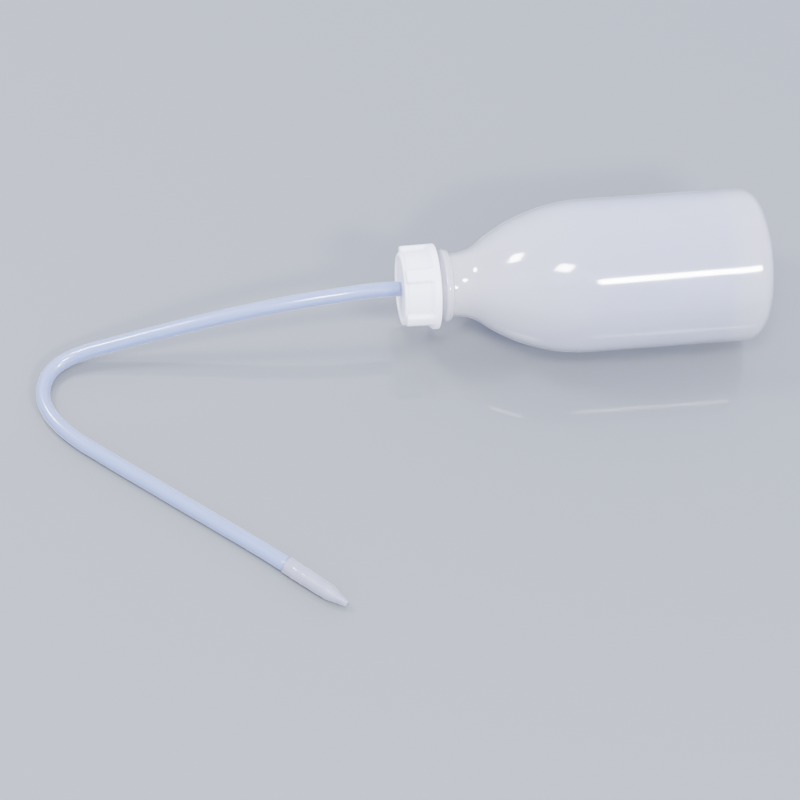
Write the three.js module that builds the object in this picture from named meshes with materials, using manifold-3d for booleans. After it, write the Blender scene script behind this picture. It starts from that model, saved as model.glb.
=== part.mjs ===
// Squeeze bottle with a screw cap, a dip tube and a long delivery hose, used to pump gear oil.
// Millimetres, +Z up. The bottle lies on its side: its axis runs along X, base towards +X and
// cap towards -X. The origin is on the surface that the bottle lies on, under its middle.
import * as THREE from 'three';
import { mergeVertices } from 'three/addons/utils/BufferGeometryUtils.js';
import Module from 'manifold-3d';

const wasm = await Module();
wasm.setup();

// ---------------------------------------------------------------- driving dimensions
// Stations are measured along the axis from the front rim of the closed cap.
const OVERALL_LENGTH = 144.8;
const BODY_RADIUS = 30.5;
const WALL = 1.2;

const SHOULDER_ARC = 72;
const WAIST_ARC = 16;
const WAIST_STEP = 1.25;
const WAIST_LEAD = 1.4;
const HEEL_ARC = 6.5;
const FOOT_WIDTH = 2.4;
const BASE_RECESS = 1.6;
const RECESS_EDGE = 1.2;

const THREAD_PITCH = 3.5;
const THREAD_TURNS = 1.5;
const THREAD_RADIUS = 12.4;
const THREAD_DEPTH = 1.25;
const THREAD_BASE = 2.0;
const THREAD_CREST = 0.9;
const THREAD_LEAD_IN = 2.2;
const NECK_WALL = 1.95;
const NECK_BLEND = 0.6;
const MOUTH_CHAMFER = 0.4;
const BORE_TAPER = 0.6;
const BORE_BLEND = 2;

const COLLAR_HEIGHT = 2.1;
const COLLAR_SLOPE = 0.8;
const COLLAR_BAND = 1.2;
const COLLAR_GROOVE = 0.25;
const COLLAR_RIDGE = 0.5;
const COLLAR_TAIL = 1.2;
const COLLAR_FILLET = 0.3;
const COLLAR_GAP = 1.8;

const SKIRT_LEAD = 0.6;
const SKIRT_WALL = 2.25;
const SKIRT_DRAFT = 0.3;
const SKIRT_CHAMFER = 0.2;
const CROWN_STEP = 0.6;
const CROWN_LENGTH = 1.4;
const CROWN_ROUND = 0.6;
const RIM_WIDTH = 1.3;
const RIM_DRAFT = 0.3;
const FACE_RECESS = 0.6;
const CAP_TOP = 1.6;
const FLANGE_HEIGHT = 1.6;
const FLANGE_TOP = 2.3;
const FLANGE_SLOPE = 1.6;
const LUG_COUNT = 5;
const LUG_ANGLE = 21;
const LUG_HEIGHT = 1.8;
const LUG_SETBACK = 0.7;
const FIRST_LUG_ANGLE = 106;

const SEAL_THICKNESS = 1.0;

const HOSE_RADIUS = 3;
const HOSE_BORE = 2;
const HOSE_FLOOR_GAP = 0.1;
const DIP_STRAIGHT = 38;
const DIP_CURL_RADIUS = 480;
const DIP_CURL_DIRECTION = 210;
const DIP_BASE_GAP = 5;

const NOZZLE_WALL = 0.4;
const NOZZLE_BARREL = 19.7;
const NOZZLE_CONE = 8.2;
const NOZZLE_TIP_RADIUS = 1.15;
const NOZZLE_OUTLET = 0.6;
const NOZZLE_CHAMFER = 0.3;
const NOZZLE_SOCKET = 12;
const NOZZLE_BEAD = 0.1;
const NOZZLE_BEAD_WIDTH = 1.2;
const NOZZLE_BEAD_STATIONS = [4.5, 8.6];
const NOZZLE_HEADING = -41.4;

// ---------------------------------------------------------------- clearances
const THREAD_CLEARANCE = 0.35;
const HOSE_HOLE_CLEARANCE = 0.3;
const SEAT_GAP = 0.1;
const SEAL_EDGE_GAP = 0.4;
const FACE_GAP = 0.3;
const ROOT_SINK = 0.4;

// ---------------------------------------------------------------- facets
const ROUND_SEGMENTS = 48;
const NOZZLE_SEGMENTS = 24;
const WAIST_STEPS = 5;
const SHOULDER_STEPS = 9;
const HEEL_STEPS = 5;
const LUG_STEPS = 4;
const TUBE_SIDES = 10;
const DIP_STEPS = 14;
const DIP_KNOTS = 8;
const HOSE_STEPS = 36;
const THREAD_STEP = 10;
const THREAD_FADE = 3;
const THREAD_START_HEIGHT = 0.1;

// ---------------------------------------------------------------- derived sizes
const FACET_COSINE = Math.cos(Math.PI / ROUND_SEGMENTS);
const AXIS_HEIGHT = BODY_RADIUS * FACET_COSINE;
const FRONT_X = -OVERALL_LENGTH / 2;

const CAP_FACE_STATION = FACE_RECESS;
const CEILING_STATION = FACE_RECESS + CAP_TOP;
const SEAL_FRONT = CEILING_STATION + SEAT_GAP;
const SEAL_REAR = SEAL_FRONT + SEAL_THICKNESS;
const MOUTH_STATION = SEAL_REAR + SEAT_GAP;

const NECK_RADIUS = THREAD_RADIUS - THREAD_DEPTH;
const MOUTH_RADIUS = NECK_RADIUS - NECK_WALL;
const CAP_THREAD_ROOT = THREAD_RADIUS + THREAD_CLEARANCE;
const CAP_THREAD_CREST = NECK_RADIUS + THREAD_CLEARANCE;
const HOSE_HOLE_RADIUS = (HOSE_RADIUS + HOSE_HOLE_CLEARANCE) / FACET_COSINE;
const NOZZLE_RADIUS = HOSE_RADIUS + NOZZLE_WALL;

// The cap's ridge runs half a pitch behind the neck's, so it lies in the neck's groove, and the
// skirt is long enough to cover both.
const THREAD_START = MOUTH_STATION + THREAD_LEAD_IN;
const CAP_THREAD_START = THREAD_START + THREAD_PITCH / 2;
const CAP_THREAD_END = CAP_THREAD_START + THREAD_PITCH * THREAD_TURNS + THREAD_BASE / 2;
const CAP_LENGTH = CAP_THREAD_END + SKIRT_LEAD;
const SKIRT_RADIUS = CAP_THREAD_ROOT + SKIRT_WALL;
const CROWN_RADIUS = SKIRT_RADIUS - CROWN_STEP;
const FLANGE_START = CAP_LENGTH - FLANGE_TOP;
const FLANGE_RADIUS = SKIRT_RADIUS + SKIRT_DRAFT + FLANGE_HEIGHT;

const BAND_START = CAP_LENGTH + COLLAR_GAP + COLLAR_SLOPE;
const BAND_END = BAND_START + COLLAR_BAND;
const RIDGE_STATION = BAND_END + COLLAR_RIDGE;
const COLLAR_END = RIDGE_STATION + COLLAR_RIDGE + COLLAR_TAIL;
const WAIST_RADIUS = NECK_RADIUS + WAIST_STEP;
const COLLAR_RADIUS = WAIST_RADIUS + COLLAR_HEIGHT;
const WAIST_STATION = COLLAR_END + WAIST_LEAD;

const SHOULDER_RISE = BODY_RADIUS - WAIST_RADIUS;
const SHOULDER_ANGLE = Math.acos(1 - SHOULDER_RISE / (WAIST_ARC + SHOULDER_ARC));
const SHOULDER_END = WAIST_STATION + (WAIST_ARC + SHOULDER_ARC) * Math.sin(SHOULDER_ANGLE);

// ---------------------------------------------------------------- geometry helpers

/** Points of an arc in the (station, radius) plane, from one angle to another, in radians. */
function arc(station, radius, size, from, to, steps) {
  const points = [];
  for (let i = 0; i <= steps; i += 1) {
    const angle = from + ((to - from) * i) / steps;
    points.push([station + size * Math.cos(angle), radius + size * Math.sin(angle)]);
  }
  return points;
}

/** Merges a geometry's shared vertices and turns its faces outward. */
function closed(geometry) {
  const bare = geometry.clone();
  bare.deleteAttribute('normal');
  bare.deleteAttribute('uv');
  const merged = mergeVertices(bare, 1e-4);
  const position = merged.getAttribute('position');
  const index = Array.from(merged.getIndex().array);
  const kept = [];
  let volume = 0;
  const a = new THREE.Vector3();
  const b = new THREE.Vector3();
  const c = new THREE.Vector3();
  for (let i = 0; i < index.length; i += 3) {
    const [p, q, r] = index.slice(i, i + 3);
    if (p !== q && q !== r && r !== p) {
      a.fromBufferAttribute(position, p);
      b.fromBufferAttribute(position, q);
      c.fromBufferAttribute(position, r);
      volume += a.dot(b.cross(c));
      kept.push([p, q, r]);
    }
  }
  const facing = volume < 0 ? kept.map(([p, q, r]) => [p, r, q]) : kept;
  merged.setIndex(facing.flat());
  return merged;
}

/** Turns a closed outline of [station, radius] points round the X axis, with flats at the sides. */
function turned(outline, segments = ROUND_SEGMENTS) {
  const ends = [...outline, outline[0]];
  const points = ends.map(([station, radius]) => new THREE.Vector2(radius, station));
  const geometry = new THREE.LatheGeometry(points, segments, Math.PI / segments);
  geometry.rotateZ(-Math.PI / 2);
  return closed(geometry);
}

/** A closed body through a row of loops that all have the same number of points. */
function loft(loops) {
  const size = loops[0].length;
  const last = (loops.length - 1) * size;
  const index = [];
  for (let row = 0; row < loops.length - 1; row += 1) {
    for (let i = 0; i < size; i += 1) {
      const a = row * size + i;
      const b = row * size + ((i + 1) % size);
      index.push(a, b, b + size, a, b + size, a + size);
    }
  }
  for (let i = 1; i < size - 1; i += 1) {
    index.push(0, i + 1, i);
    index.push(last, last + i, last + i + 1);
  }
  const geometry = new THREE.BufferGeometry();
  geometry.setAttribute('position', new THREE.Float32BufferAttribute(loops.flat(2), 3));
  geometry.setIndex(index);
  return closed(geometry);
}

function toSolid(geometry) {
  const vertProperties = new Float32Array(geometry.getAttribute('position').array);
  const triVerts = new Uint32Array(geometry.getIndex().array);
  return new wasm.Manifold(new wasm.Mesh({ numProp: 3, vertProperties, triVerts }));
}

function toGeometry(solid) {
  const mesh = solid.getMesh();
  const geometry = new THREE.BufferGeometry();
  geometry.setAttribute('position', new THREE.BufferAttribute(new Float32Array(mesh.vertProperties), 3));
  geometry.setIndex(new THREE.BufferAttribute(new Uint32Array(mesh.triVerts), 1));
  return geometry;
}

/** A helical ridge from a root radius to a crest radius, which rises and fades at its ends. */
function threadRidge(rootRadius, crestRadius, startStation) {
  const steps = Math.round((THREAD_TURNS * 360) / THREAD_STEP);
  const buried = rootRadius + Math.sign(rootRadius - crestRadius) * ROOT_SINK;
  const loops = [];
  for (let i = 0; i <= steps; i += 1) {
    const angle = THREE.MathUtils.degToRad(i * THREAD_STEP);
    const station = startStation + (THREAD_PITCH * i * THREAD_STEP) / 360;
    const fromEnd = Math.min(i, steps - i) / THREAD_FADE + THREAD_START_HEIGHT;
    const crest = THREE.MathUtils.lerp(rootRadius, crestRadius, Math.min(1, fromEnd));
    const section = [
      [station - THREAD_BASE / 2, buried],
      [station - THREAD_BASE / 2, rootRadius],
      [station - THREAD_CREST / 2, crest],
      [station + THREAD_CREST / 2, crest],
      [station + THREAD_BASE / 2, rootRadius],
      [station + THREAD_BASE / 2, buried],
    ];
    // Seen from the cap's front a right-hand thread runs away from the eye as it turns clockwise.
    loops.push(section.map(([x, r]) => [x, -r * Math.sin(angle), r * Math.cos(angle)]));
  }
  return loft(loops);
}

/** A round section, with an optional bore, for tubes that follow a path. */
function tubeSection(radius, bore) {
  const section = new THREE.Shape();
  section.absarc(0, 0, radius, 0, Math.PI * 2);
  if (bore) {
    const hole = new THREE.Path();
    hole.absarc(0, 0, bore, 0, Math.PI * 2, true);
    section.holes.push(hole);
  }
  return section;
}

function tube(path, steps, radius, bore) {
  return closed(new THREE.ExtrudeGeometry(tubeSection(radius, bore), {
    steps,
    curveSegments: TUBE_SIDES / 2,
    bevelEnabled: false,
    extrudePath: path,
  }));
}

// ---------------------------------------------------------------- squeeze bottle

/** The bottle's skin from the waist to the heel, moved inward by a wall thickness. */
function bodySkin(inset) {
  const up = Math.PI / 2;
  const steep = up + SHOULDER_ANGLE;
  const waistHub = WAIST_RADIUS + WAIST_ARC;
  const shoulderHub = BODY_RADIUS - SHOULDER_ARC;
  const heelStation = OVERALL_LENGTH - HEEL_ARC;
  return [
    ...arc(WAIST_STATION, waistHub, WAIST_ARC + inset, -up, SHOULDER_ANGLE - up, WAIST_STEPS),
    ...arc(SHOULDER_END, shoulderHub, SHOULDER_ARC - inset, steep, up, SHOULDER_STEPS),
    ...arc(heelStation, BODY_RADIUS - HEEL_ARC, HEEL_ARC - inset, up, 0, HEEL_STEPS),
  ];
}

function bottleBody() {
  const collarFoot = (COLLAR_RADIUS + WAIST_RADIUS) / 2;
  const neck = [
    [MOUTH_STATION, NECK_RADIUS - MOUTH_CHAMFER],
    [MOUTH_STATION + MOUTH_CHAMFER, NECK_RADIUS],
    [BAND_START - COLLAR_SLOPE - NECK_BLEND, NECK_RADIUS],
    [BAND_START - COLLAR_SLOPE, WAIST_RADIUS],
    [BAND_START, COLLAR_RADIUS],
    [BAND_END, COLLAR_RADIUS],
    [BAND_END + COLLAR_RIDGE / 2, COLLAR_RADIUS - COLLAR_GROOVE],
    [RIDGE_STATION, COLLAR_RADIUS - COLLAR_GROOVE / 2],
    [RIDGE_STATION + COLLAR_RIDGE, COLLAR_RADIUS - COLLAR_GROOVE],
    [COLLAR_END, collarFoot],
    [COLLAR_END + COLLAR_FILLET, WAIST_RADIUS],
  ];
  const footOuter = BODY_RADIUS - HEEL_ARC;
  const footInner = footOuter - FOOT_WIDTH;
  const base = [
    [OVERALL_LENGTH, footInner],
    [OVERALL_LENGTH - BASE_RECESS, footInner - RECESS_EDGE],
    [OVERALL_LENGTH - BASE_RECESS, 0],
    [OVERALL_LENGTH - BASE_RECESS - WALL, 0],
    [OVERALL_LENGTH - BASE_RECESS - WALL, footInner - RECESS_EDGE - WALL / 2],
    [OVERALL_LENGTH - WALL, footInner - WALL / 2],
  ];
  const inside = bodySkin(WALL).reverse();
  const bore = [
    [WAIST_STATION - BORE_BLEND, MOUTH_RADIUS + BORE_TAPER],
    [MOUTH_STATION, MOUTH_RADIUS],
  ];
  const shell = turned([...neck, ...bodySkin(0).slice(1), ...base, ...inside, ...bore]);
  const ridgeOnNeck = threadRidge(NECK_RADIUS, THREAD_RADIUS, THREAD_START);
  return toGeometry(toSolid(shell).add(toSolid(ridgeOnNeck)));
}

// ---------------------------------------------------------------- screw cap

/** One gripping lug: a block on the skirt, from just behind the crown to the flange. */
function lug(centreAngle) {
  const half = THREE.MathUtils.degToRad(LUG_ANGLE / 2);
  const middle = THREE.MathUtils.degToRad(centreAngle);
  const outer = SKIRT_RADIUS + LUG_HEIGHT;
  const inner = SKIRT_RADIUS - ROOT_SINK * 2;
  const loops = [LUG_SETBACK, CAP_LENGTH - FLANGE_TOP / 2].map((station) => {
    const angles = [];
    for (let i = 0; i <= LUG_STEPS; i += 1) {
      angles.push(middle - half + (2 * half * i) / LUG_STEPS);
    }
    const ring = (radius) => (angle) => [station, radius * Math.cos(angle), radius * Math.sin(angle)];
    return [...angles.map(ring(outer)), ...angles.reverse().map(ring(inner))];
  });
  return loft(loops);
}

function screwCap() {
  const rimInner = CROWN_RADIUS - CROWN_ROUND - RIM_WIDTH;
  const shell = turned([
    [FACE_RECESS, HOSE_HOLE_RADIUS],
    [FACE_RECESS, rimInner],
    [0, rimInner + RIM_DRAFT],
    [0, CROWN_RADIUS - CROWN_ROUND],
    [CROWN_ROUND, CROWN_RADIUS],
    [CROWN_LENGTH, CROWN_RADIUS],
    [CROWN_LENGTH + SKIRT_CHAMFER, SKIRT_RADIUS],
    [FLANGE_START - FLANGE_SLOPE, SKIRT_RADIUS + SKIRT_DRAFT],
    [FLANGE_START, FLANGE_RADIUS],
    [CAP_LENGTH, FLANGE_RADIUS],
    [CAP_LENGTH, CAP_THREAD_ROOT],
    [CEILING_STATION, CAP_THREAD_ROOT],
    [CEILING_STATION, HOSE_HOLE_RADIUS],
  ]);
  const ridge = threadRidge(CAP_THREAD_ROOT, CAP_THREAD_CREST, CAP_THREAD_START);
  let cap = toSolid(shell).add(toSolid(ridge));
  for (let i = 0; i < LUG_COUNT; i += 1) {
    cap = cap.add(toSolid(lug(FIRST_LUG_ANGLE + (360 / LUG_COUNT) * i)));
  }
  return toGeometry(cap);
}

// ---------------------------------------------------------------- mouth seal

function mouthSeal() {
  const edge = CAP_THREAD_CREST - SEAL_EDGE_GAP;
  return turned([
    [SEAL_FRONT, HOSE_HOLE_RADIUS],
    [SEAL_FRONT, edge],
    [SEAL_REAR, edge],
    [SEAL_REAR, HOSE_HOLE_RADIUS],
  ]);
}

// ---------------------------------------------------------------- dip tube

/** Runs straight down the axis, then keeps a little of the coil that the tube was wound in. */
function dipTube() {
  const direction = THREE.MathUtils.degToRad(DIP_CURL_DIRECTION);
  const end = OVERALL_LENGTH - BASE_RECESS - WALL - DIP_BASE_GAP;
  const points = [
    new THREE.Vector3(CAP_FACE_STATION, 0, 0),
    new THREE.Vector3(DIP_STRAIGHT / 2, 0, 0),
    new THREE.Vector3(DIP_STRAIGHT, 0, 0),
  ];
  for (let i = 1; i <= DIP_KNOTS; i += 1) {
    const station = DIP_STRAIGHT + ((end - DIP_STRAIGHT) * i) / DIP_KNOTS;
    const drop = DIP_CURL_RADIUS - Math.sqrt(DIP_CURL_RADIUS ** 2 - (station - DIP_STRAIGHT) ** 2);
    points.push(new THREE.Vector3(station, drop * Math.cos(direction), drop * Math.sin(direction)));
  }
  return tube(new THREE.CatmullRomCurve3(points), DIP_STEPS, HOSE_RADIUS, HOSE_BORE);
}

// ---------------------------------------------------------------- delivery hose

// The hose leaves the cap straight, comes down to the surface, turns back in one formed bend
// and lies on the surface as far as the nozzle.
const FLOOR = HOSE_RADIUS + HOSE_FLOOR_GAP;
const HOSE_EXIT = [FRONT_X + CAP_FACE_STATION - FACE_GAP, 0, AXIS_HEIGHT];
const HOSE_ROUTE = [
  HOSE_EXIT,
  [-84.5, 0, 30.4],
  [-97.5, -0.5, 29.4],
  [-110.5, -0.7, 27.7],
  [-123.5, -0.9, 25.3],
  [-136, -1.1, 22.5],
  [-148.5, -1.4, 19.4],
  [-161, -1.8, 16.1],
  [-173.5, -2.4, 12.8],
  [-186, -3.1, 9.5],
  [-197, -4, 6.7],
  [-205, -6, 4.8],
  [-210.5, -9.6, 3.8],
  [-213.7, -15, FLOOR + 0.1],
  [-214.6, -21, FLOOR],
  [-213.3, -27, FLOOR],
  [-209.8, -33.3, FLOOR],
  [-204.5, -39.5, FLOOR],
  [-194, -48.6, FLOOR],
  [-179.5, -60.4, FLOOR],
  [-164.5, -72.5, FLOOR],
  [-149.5, -84.6, FLOOR],
  [-138, -94, FLOOR + 0.2],
  [-127.7, -102.8, NOZZLE_RADIUS + HOSE_FLOOR_GAP],
];

function deliveryHose() {
  const points = HOSE_ROUTE.map(([x, y, z]) => new THREE.Vector3(x - FRONT_X, y, z - AXIS_HEIGHT));
  return tube(new THREE.CatmullRomCurve3(points), HOSE_STEPS, HOSE_RADIUS, 0);
}

// ---------------------------------------------------------------- nozzle

/** A push-on nozzle: a barrel with two shallow beads, then a cone down to a fine outlet. */
function nozzleTip() {
  const length = NOZZLE_BARREL + NOZZLE_CONE;
  const outside = [
    [0, NOZZLE_RADIUS - NOZZLE_CHAMFER],
    [NOZZLE_CHAMFER, NOZZLE_RADIUS - NOZZLE_BEAD],
  ];
  for (const station of NOZZLE_BEAD_STATIONS) {
    outside.push([station - NOZZLE_BEAD_WIDTH / 2, NOZZLE_RADIUS - NOZZLE_BEAD]);
    outside.push([station, NOZZLE_RADIUS]);
    outside.push([station + NOZZLE_BEAD_WIDTH / 2, NOZZLE_RADIUS - NOZZLE_BEAD]);
  }
  const inside = [
    [length, NOZZLE_OUTLET],
    [NOZZLE_SOCKET, HOSE_BORE],
    [0, HOSE_BORE],
  ];
  const cone = [
    [NOZZLE_BARREL, NOZZLE_RADIUS - NOZZLE_BEAD * 2],
    [length - NOZZLE_CHAMFER, NOZZLE_TIP_RADIUS],
    [length, NOZZLE_TIP_RADIUS - NOZZLE_CHAMFER / 2],
  ];
  return turned([...outside, ...cone, ...inside], NOZZLE_SEGMENTS);
}

// ---------------------------------------------------------------- assembly

function plastic(color, roughness) {
  return new THREE.MeshStandardMaterial({ color, roughness, metalness: 0 });
}

const part = new THREE.Group();

function place(name, geometry, material) {
  const mesh = new THREE.Mesh(geometry, material);
  mesh.name = name;
  mesh.position.set(FRONT_X, 0, AXIS_HEIGHT);
  part.add(mesh);
  return mesh;
}

place('squeeze_bottle', bottleBody(), plastic('#dfe2ee', 0.3));
place('screw_cap', screwCap(), plastic('#f1f0f4', 0.45));
place('mouth_seal', mouthSeal(), plastic('#e8e8ea', 0.6));
place('dip_tube', dipTube(), plastic('#cfd9e6', 0.35));
place('delivery_hose', deliveryHose(), plastic('#cfd9e6', 0.35));

const nozzle = place('nozzle_tip', nozzleTip(), plastic('#e9eaec', 0.4));
const heading = THREE.MathUtils.degToRad(NOZZLE_HEADING);
const [endX, endY, endZ] = HOSE_ROUTE[HOSE_ROUTE.length - 1];
nozzle.position.set(endX + FACE_GAP * Math.cos(heading), endY + FACE_GAP * Math.sin(heading), endZ);
nozzle.rotation.z = heading;

export default part;
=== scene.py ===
# %% [markdown]
# # Gear oil squeeze bottle
# The object is a soft polyethylene bottle that lies on its side, with a screw cap, a dip tube inside
# and a long delivery hose that ends in a push-on nozzle. Squeezing the bottle pumps oil down the
# hose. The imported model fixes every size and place, so this lesson only makes the fine surfaces,
# in the same metres and the same frame, and gives each one its plastic.

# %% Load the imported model
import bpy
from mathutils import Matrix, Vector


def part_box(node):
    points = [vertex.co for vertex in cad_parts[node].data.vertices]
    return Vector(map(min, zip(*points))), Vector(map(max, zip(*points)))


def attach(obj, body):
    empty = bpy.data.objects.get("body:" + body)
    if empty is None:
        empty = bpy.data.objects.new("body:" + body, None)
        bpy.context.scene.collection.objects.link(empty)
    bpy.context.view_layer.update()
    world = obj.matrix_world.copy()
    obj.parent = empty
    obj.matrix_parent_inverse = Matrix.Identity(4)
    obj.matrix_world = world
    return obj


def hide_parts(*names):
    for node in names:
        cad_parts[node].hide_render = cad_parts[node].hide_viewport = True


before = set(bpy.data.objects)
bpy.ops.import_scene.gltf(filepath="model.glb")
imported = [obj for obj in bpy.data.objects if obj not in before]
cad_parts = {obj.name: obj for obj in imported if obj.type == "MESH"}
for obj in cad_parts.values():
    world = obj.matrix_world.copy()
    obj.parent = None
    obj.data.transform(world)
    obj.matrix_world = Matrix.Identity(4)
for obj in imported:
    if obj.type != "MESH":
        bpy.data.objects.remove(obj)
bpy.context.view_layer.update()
print("packed nodes:", sorted(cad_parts))

# %% Tools that the lesson needs
import math

import bmesh
import bpy
from mathutils import Matrix, Quaternion, Vector, noise

print("Blender", bpy.app.version_string)

# %% [markdown]
# ## The sizes that everything else follows
# The bottle is turned round one straight axis, so each outline below is a list of stations along
# that axis and radii from it, in millimetres. Station 0 is the front rim of the closed cap. Length,
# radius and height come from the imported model, and the rest are the moulding's own small sizes.

# %% Axis, length and radii
MM = 0.001

bottle_low, bottle_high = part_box("squeeze_bottle")
cap_low, cap_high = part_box("screw_cap")
seal_low, seal_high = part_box("mouth_seal")

front_x = cap_low[0]
axis_z = (bottle_low[2] + bottle_high[2]) / 2
total_length = (bottle_high[0] - front_x) / MM
body_radius = axis_z / MM
mouth_station = (bottle_low[0] - front_x) / MM
cap_length = (cap_high[0] - front_x) / MM
AXIS = Vector((0, 0, axis_z))
print(f"length {total_length:.1f} mm, body radius {body_radius:.2f} mm, cap {cap_length:.1f} mm")

# %% The moulding's own sizes
WALL = 1.2
WAIST_RADIUS = 12.4
WAIST_STATION = 21.6
WAIST_ARC = 16
SHOULDER_ARC = 72
HEEL_ARC = 6.5
FOOT_WIDTH = 2.4
BASE_RECESS = 1.6
MOUTH_RADIUS = 9.2
NECK_RADIUS = 11.15
THREAD_RADIUS = 12.4
THREAD_PITCH = 3.5
THREAD_TURNS = 1.5
THREAD_START = mouth_station + 2.2
THREAD_CLEARANCE = 0.35
HOSE_RADIUS = 3.0
HOSE_WALL = 1.0
print(f"wall {WALL} mm, thread {2 * THREAD_RADIUS} mm across, hose {2 * HOSE_RADIUS} mm across")

# %% [markdown]
# ## The camera
# It looks down on the bottle from the cap's side, as a person standing at a bench does, through a
# long lens that keeps the hose and the bottle at nearly one scale. It leans a few degrees, so that
# the bottle's axis climbs gently to the right.

# %% Camera
CAMERA_PLACE = Vector((-0.1959, -0.4874, 0.8012))
CAMERA_TARGET = Vector((-0.0791, -0.0503, axis_z))
CAMERA_ROLL = math.radians(8.5)
CAMERA_LENS = 104.9

camera_data = bpy.data.cameras.new("camera")
camera_data.lens = CAMERA_LENS
camera_data.sensor_width = 36
camera_data.clip_start = 0.01
camera = bpy.data.objects.new("camera", camera_data)
bpy.context.scene.collection.objects.link(camera)
camera.location = CAMERA_PLACE
look = (CAMERA_TARGET - CAMERA_PLACE).to_track_quat("-Z", "Y")
camera.rotation_euler = (look @ Quaternion((0, 0, 1), CAMERA_ROLL)).to_euler()
bpy.context.scene.camera = camera
print(f"camera: {(CAMERA_TARGET - CAMERA_PLACE).length:.3f} m from its target")

# %% [markdown]
# ## Helpers for swept tubes
# A plastic tube is an extrusion: one ring that travels along a line. It could be a curve with a
# bevel, but then it would be a solid rod, and this plastic is clear enough to show its bore. So a
# circle is extruded ring by ring along a smooth line, and a Solidify modifier gives it its wall.
# Each point also keeps its place on the straight tube, before bending, so that the faint lines
# that the extrusion die leaves can follow every bend.

# %% A smooth line through chosen points
KNOT_STEPS = 24


def smooth_line(points, step):
    """Evenly spaced points on one smooth curve through the chosen ones, in metres."""
    data = bpy.data.curves.new("guide", "CURVE")
    data.dimensions = "3D"
    data.resolution_u = KNOT_STEPS
    spline = data.splines.new("BEZIER")
    spline.bezier_points.add(len(points) - 1)
    for knot, point in zip(spline.bezier_points, points):
        knot.co = point
        knot.handle_left_type = "AUTO"
        knot.handle_right_type = "AUTO"
    guide = bpy.data.objects.new("guide", data)
    bpy.context.scene.collection.objects.link(guide)
    bpy.context.view_layer.update()
    mesh = bpy.data.meshes.new_from_object(guide)
    raw = [vertex.co.copy() for vertex in mesh.vertices]
    bpy.data.meshes.remove(mesh)
    bpy.data.objects.remove(guide)
    bpy.data.curves.remove(data)
    lengths = [0.0]
    for here, there in zip(raw, raw[1:]):
        lengths.append(lengths[-1] + (there - here).length)
    count = max(2, round(lengths[-1] / step))
    line = []
    index = 0
    for i in range(count + 1):
        wanted = lengths[-1] * i / count
        while index < len(raw) - 2 and lengths[index + 1] < wanted:
            index += 1
        share = (wanted - lengths[index]) / max(lengths[index + 1] - lengths[index], 1e-9)
        line.append(raw[index].lerp(raw[index + 1], min(max(share, 0.0), 1.0)))
    return line, lengths[-1]


corner_length = smooth_line([Vector((0, 0, 0)), Vector((1, 0, 0)), Vector((1, 1, 0))], 0.1)[1]
print(f"two sides of a square, 2 m, are {corner_length:.2f} m as one smooth line")


# %% A bmesh made into an object
def finished(name, bm, sharp=40):
    """Closes a bmesh into an object at the origin, smooth except along its sharp edges."""
    mesh = bpy.data.meshes.new(name)
    bm.to_mesh(mesh)
    bm.free()
    mesh.polygons.foreach_set("use_smooth", [True] * len(mesh.polygons))
    mesh.set_sharp_from_angle(angle=math.radians(sharp))
    piece = bpy.data.objects.new(name, mesh)
    bpy.context.scene.collection.objects.link(piece)
    print(f"{name}: {len(mesh.polygons)} faces")
    return piece


# %% A ring swept along the line
BULGE_SHARE = 0.25


def swept_tube(name, line, radius, wall, sides=40, narrow=None):
    """A tube round a line. narrow(share) gives the ring's width in the plane of its bends."""
    bm = bmesh.new()
    straight = bm.verts.layers.float_vector.new("straight")
    along = 0.0
    before = None
    verts = []
    edges = []
    for i, centre in enumerate(line):
        ahead = line[min(i + 1, len(line) - 1)] - line[max(i - 1, 0)]
        turn = ahead.to_track_quat("Z", "Y").to_matrix().to_4x4()
        width = narrow(i / (len(line) - 1)) if narrow else 1.0
        oval = Matrix.Diagonal((width, 1 + (1 - width) * BULGE_SHARE, 1, 1))
        place = Matrix.Translation(centre) @ turn @ oval
        if before is None:
            ring = bmesh.ops.create_circle(bm, segments=sides, radius=radius, matrix=place)
            verts = ring["verts"]
            edges = list(bm.edges)
        else:
            grown = bmesh.ops.extrude_edge_only(bm, edges=edges)["geom"]
            verts = [item for item in grown if isinstance(item, bmesh.types.BMVert)]
            edges = [item for item in grown if isinstance(item, bmesh.types.BMEdge)]
            edges = [edge for edge in edges if all(vert in verts for vert in edge.verts)]
            bmesh.ops.transform(bm, matrix=place @ before.inverted(), verts=verts)
            along += (centre - line[i - 1]).length
        flat = place.inverted()
        for vert in verts:
            local = flat @ vert.co
            vert[straight] = (local.x, local.y, along)
        before = place
    bmesh.ops.recalc_face_normals(bm, faces=bm.faces)
    piece = finished(name, bm)
    walls = piece.modifiers.new("wall", "SOLIDIFY")
    walls.thickness = wall
    walls.offset = -1
    walls.use_even_offset = True
    return piece


print(f"a ring that is squeezed by 10% grows {10 * BULGE_SHARE:.1f}% the other way")
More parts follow.
